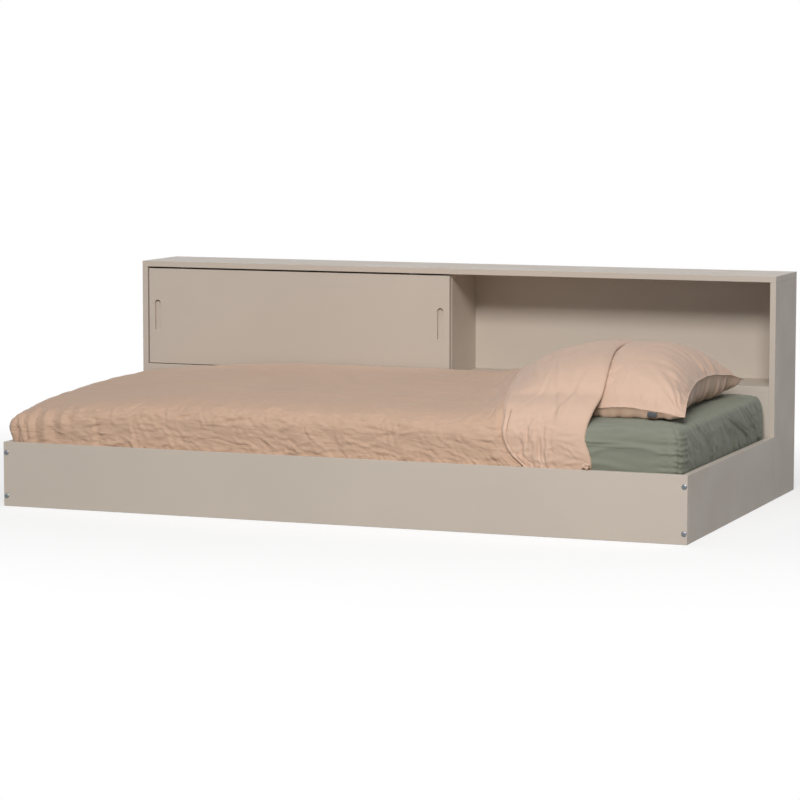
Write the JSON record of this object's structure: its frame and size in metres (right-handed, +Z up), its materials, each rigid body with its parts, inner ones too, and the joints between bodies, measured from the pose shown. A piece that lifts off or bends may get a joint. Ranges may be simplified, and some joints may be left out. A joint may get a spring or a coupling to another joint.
{
  "type": "storage daybed",
  "caption": "Low flat-panel storage daybed with a rear cabinet, an open niche, a sliding door with finger pulls, and bedding.",
  "frame": {"origin": "middle of the footprint, on the floor", "axes": "+X along the bed towards the open niche's end, +Y towards the cabinet at the rear, +Z up"},
  "size_m": [2.06, 1.1826, 0.662],
  "materials": {
    "painted_board": "satin paint",
    "zinc_steel": "zinc plated",
    "nylon": "matte",
    "bare_wood": "planed",
    "webbing": "woven",
    "mattress_ticking": "woven",
    "sage_cotton": "plain weave",
    "blush_cotton": "washed plain weave",
    "grey_tab": "woven"
  },
  "bodies": {
    "frame": {"front_board": "painted_board", "end_board_left": "painted_board", "end_board_right": "painted_board", "cabinet_side_left": "painted_board", "cabinet_side_right": "painted_board", "cabinet_top": "painted_board", "cabinet_shelf": "painted_board", "divider": "painted_board", "lower_front_panel": "painted_board", "shelf_support": "painted_board", "rear_stretcher": "painted_board", "back_panel": "painted_board", "frame_bolts": "zinc_steel", "barrel_nuts": "zinc_steel", "corner_bracket_left": "zinc_steel", "corner_bracket_right": "zinc_steel", "bracket_screws": "zinc_steel", "cam_locks": "zinc_steel", "cam_pins": "zinc_steel", "back_panel_screws": "zinc_steel", "ledger_screws": "zinc_steel", "slat_01": "bare_wood", "slat_02": "bare_wood", "slat_03": "bare_wood", "slat_04": "bare_wood", "slat_05": "bare_wood", "slat_06": "bare_wood", "slat_07": "bare_wood", "slat_08": "bare_wood", "slat_09": "bare_wood", "slat_10": "bare_wood", "slat_11": "bare_wood", "slat_12": "bare_wood", "slat_13": "bare_wood", "slat_14": "bare_wood", "ledger_front": "bare_wood", "ledger_rear": "bare_wood", "wood_dowels": "bare_wood", "slat_strap_front": "webbing", "slat_strap_rear": "webbing", "mattress": "mattress_ticking", "fitted_sheet": "sage_cotton", "duvet": "blush_cotton", "pillow": "blush_cotton", "pillow_tag": "grey_tab"},
    "door": {"sliding_door": "painted_board", "door_glide_left": "nylon", "door_glide_right": "nylon", "door_guide_left": "nylon", "door_guide_right": "nylon"}
  },
  "joints": [
    {"name": "door_slide", "type": "slide", "parent": "frame", "child": "door", "axis": [1, 0, 0], "range_m": [0, 1.0008]}
  ]
}
